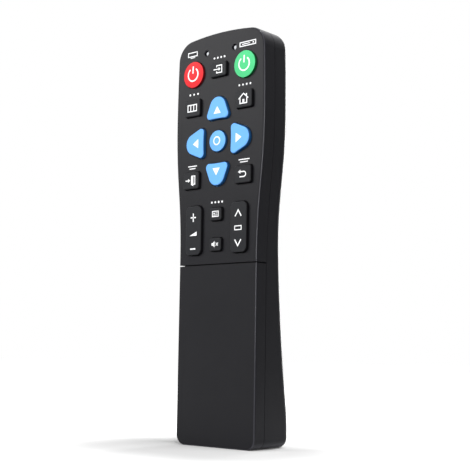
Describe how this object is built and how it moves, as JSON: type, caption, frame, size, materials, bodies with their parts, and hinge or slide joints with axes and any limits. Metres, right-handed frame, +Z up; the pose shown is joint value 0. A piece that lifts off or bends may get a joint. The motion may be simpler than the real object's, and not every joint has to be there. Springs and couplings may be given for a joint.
{
  "type": "universal remote control",
  "caption": "Slim black handset with coloured round and arrow keys, rocker keys, a cover that slides off a number pad, and a hinged battery door at the back.",
  "frame": {"origin": "middle of the whole part's box, on the flat foot", "axes": "+Z up the length from foot to infrared window, -Y out of the key face, +X to the right of the keys"},
  "size_m": [0.057, 0.0278, 0.2],
  "materials": {
    "case_black": "fine satin grain",
    "key_black": "satin silicone",
    "key_blue": "satin silicone",
    "key_red": "satin silicone",
    "key_green": "satin silicone",
    "battery_jacket": "gloss sleeve",
    "contact_nickel": "nickel plated",
    "board_green": "solder mask",
    "silicone_grey": "matt silicone",
    "led_clear": "clear epoxy",
    "led_smoke": "milky epoxy",
    "window_smoke": "polished",
    "chip_black": "moulded epoxy",
    "can_steel": "plain",
    "sleeve_dark": "shrunk sleeve",
    "screw_steel": "zinc plated"
  },
  "bodies": {
    "handset": {"front_shell": "case_black", "rear_shell": "case_black", "battery_left": "battery_jacket", "battery_right": "battery_jacket", "bridge_contact": "contact_nickel", "plus_contact": "contact_nickel", "minus_contact": "contact_nickel", "circuit_board": "board_green", "keypad_sheet": "silicone_grey", "infrared_led": "led_clear", "indicator_left": "led_smoke", "indicator_right": "led_smoke", "infrared_window": "window_smoke", "main_chip": "chip_black", "crystal": "can_steel", "capacitor": "sleeve_dark", "case_screws": "screw_steel", "bay_screws": "screw_steel"},
    "key_input": {"key_input": "key_black"},
    "key_menu": {"key_menu": "key_black"},
    "key_home": {"key_home": "key_black"},
    "key_exit": {"key_exit": "key_black"},
    "key_back": {"key_back": "key_black"},
    "key_guide": {"key_guide": "key_black"},
    "key_mute": {"key_mute": "key_black"},
    "key_up": {"key_up": "key_blue"},
    "key_down": {"key_down": "key_blue"},
    "key_left": {"key_left": "key_blue"},
    "key_right": {"key_right": "key_blue"},
    "key_power_red": {"key_power_red": "key_red"},
    "key_power_green": {"key_power_green": "key_green"},
    "key_ok": {"key_ok": "key_blue"},
    "number_1": {"number_1": "key_black"},
    "number_2": {"number_2": "key_black"},
    "number_3": {"number_3": "key_black"},
    "number_4": {"number_4": "key_black"},
    "number_5": {"number_5": "key_black"},
    "number_6": {"number_6": "key_black"},
    "number_7": {"number_7": "key_black"},
    "number_8": {"number_8": "key_black"},
    "number_9": {"number_9": "key_black"},
    "number_dash": {"number_dash": "key_black"},
    "number_0": {"number_0": "key_black"},
    "number_recall": {"number_recall": "key_black"},
    "rocker_volume": {"rocker_volume": "key_black"},
    "rocker_channel": {"rocker_channel": "key_black"},
    "cover": {"slide_cover": "case_black"},
    "door": {"battery_door": "case_black"}
  },
  "joints": [
    {"name": "cover_slide", "type": "slide", "parent": "handset", "child": "cover", "axis": [0, 0, -1], "range_m": [0, 0.066]},
    {"name": "door_hinge", "type": "hinge", "parent": "handset", "child": "door", "pos_m": [0, 0.01162, 0.0112], "axis": [-1, 0, 0], "range_deg": [0, 75]},
    {"name": "key_input_press", "type": "slide", "parent": "handset", "child": "key_input", "axis": [0, 1, 0], "range_m": [0, 0.001], "stiffness_N_per_m": 1200},
    {"name": "key_menu_press", "type": "slide", "parent": "handset", "child": "key_menu", "axis": [0, 1, 0], "range_m": [0, 0.001], "stiffness_N_per_m": 1200},
    {"name": "key_home_press", "type": "slide", "parent": "handset", "child": "key_home", "axis": [0, 1, 0], "range_m": [0, 0.001], "stiffness_N_per_m": 1200},
    {"name": "key_exit_press", "type": "slide", "parent": "handset", "child": "key_exit", "axis": [0, 1, 0], "range_m": [0, 0.001], "stiffness_N_per_m": 1200},
    {"name": "key_back_press", "type": "slide", "parent": "handset", "child": "key_back", "axis": [0, 1, 0], "range_m": [0, 0.001], "stiffness_N_per_m": 1200},
    {"name": "key_guide_press", "type": "slide", "parent": "handset", "child": "key_guide", "axis": [0, 1, 0], "range_m": [0, 0.001], "stiffness_N_per_m": 1200},
    {"name": "key_mute_press", "type": "slide", "parent": "handset", "child": "key_mute", "axis": [0, 1, 0], "range_m": [0, 0.001], "stiffness_N_per_m": 1200},
    {"name": "key_up_press", "type": "slide", "parent": "handset", "child": "key_up", "axis": [0, 1, 0], "range_m": [0, 0.001], "stiffness_N_per_m": 1200},
    {"name": "key_down_press", "type": "slide", "parent": "handset", "child": "key_down", "axis": [0, 1, 0], "range_m": [0, 0.001], "stiffness_N_per_m": 1200},
    {"name": "key_left_press", "type": "slide", "parent": "handset", "child": "key_left", "axis": [0, 1, 0], "range_m": [0, 0.001], "stiffness_N_per_m": 1200},
    {"name": "key_right_press", "type": "slide", "parent": "handset", "child": "key_right", "axis": [0, 1, 0], "range_m": [0, 0.001], "stiffness_N_per_m": 1200},
    {"name": "key_power_red_press", "type": "slide", "parent": "handset", "child": "key_power_red", "axis": [0, 1, 0], "range_m": [0, 0.001], "stiffness_N_per_m": 1200},
    {"name": "key_power_green_press", "type": "slide", "parent": "handset", "child": "key_power_green", "axis": [0, 1, 0], "range_m": [0, 0.001], "stiffness_N_per_m": 1200},
    {"name": "key_ok_press", "type": "slide", "parent": "handset", "child": "key_ok", "axis": [0, 1, 0], "range_m": [0, 0.001], "stiffness_N_per_m": 1200},
    {"name": "number_1_press", "type": "slide", "parent": "handset", "child": "number_1", "axis": [0, 1, 0], "range_m": [0, 0.0008], "stiffness_N_per_m": 1200},
    {"name": "number_2_press", "type": "slide", "parent": "handset", "child": "number_2", "axis": [0, 1, 0], "range_m": [0, 0.0008], "stiffness_N_per_m": 1200},
    {"name": "number_3_press", "type": "slide", "parent": "handset", "child": "number_3", "axis": [0, 1, 0], "range_m": [0, 0.0008], "stiffness_N_per_m": 1200},
    {"name": "number_4_press", "type": "slide", "parent": "handset", "child": "number_4", "axis": [0, 1, 0], "range_m": [0, 0.0008], "stiffness_N_per_m": 1200},
    {"name": "number_5_press", "type": "slide", "parent": "handset", "child": "number_5", "axis": [0, 1, 0], "range_m": [0, 0.0008], "stiffness_N_per_m": 1200},
    {"name": "number_6_press", "type": "slide", "parent": "handset", "child": "number_6", "axis": [0, 1, 0], "range_m": [0, 0.0008], "stiffness_N_per_m": 1200},
    {"name": "number_7_press", "type": "slide", "parent": "handset", "child": "number_7", "axis": [0, 1, 0], "range_m": [0, 0.0008], "stiffness_N_per_m": 1200},
    {"name": "number_8_press", "type": "slide", "parent": "handset", "child": "number_8", "axis": [0, 1, 0], "range_m": [0, 0.0008], "stiffness_N_per_m": 1200},
    {"name": "number_9_press", "type": "slide", "parent": "handset", "child": "number_9", "axis": [0, 1, 0], "range_m": [0, 0.0008], "stiffness_N_per_m": 1200},
    {"name": "number_dash_press", "type": "slide", "parent": "handset", "child": "number_dash", "axis": [0, 1, 0], "range_m": [0, 0.0008], "stiffness_N_per_m": 1200},
    {"name": "number_0_press", "type": "slide", "parent": "handset", "child": "number_0", "axis": [0, 1, 0], "range_m": [0, 0.0008], "stiffness_N_per_m": 1200},
    {"name": "number_recall_press", "type": "slide", "parent": "handset", "child": "number_recall", "axis": [0, 1, 0], "range_m": [0, 0.0008], "stiffness_N_per_m": 1200},
    {"name": "rocker_volume_tilt", "type": "hinge", "parent": "handset", "child": "rocker_volume", "pos_m": [-0.0144, -0.0077, 0.103], "axis": [1, 0, 0], "range_deg": [-3, 3], "stiffness_Nm_per_rad": 0.17},
    {"name": "rocker_channel_tilt", "type": "hinge", "parent": "handset", "child": "rocker_channel", "pos_m": [0.0144, -0.0077, 0.103], "axis": [1, 0, 0], "range_deg": [-3, 3], "stiffness_Nm_per_rad": 0.17}
  ]
}
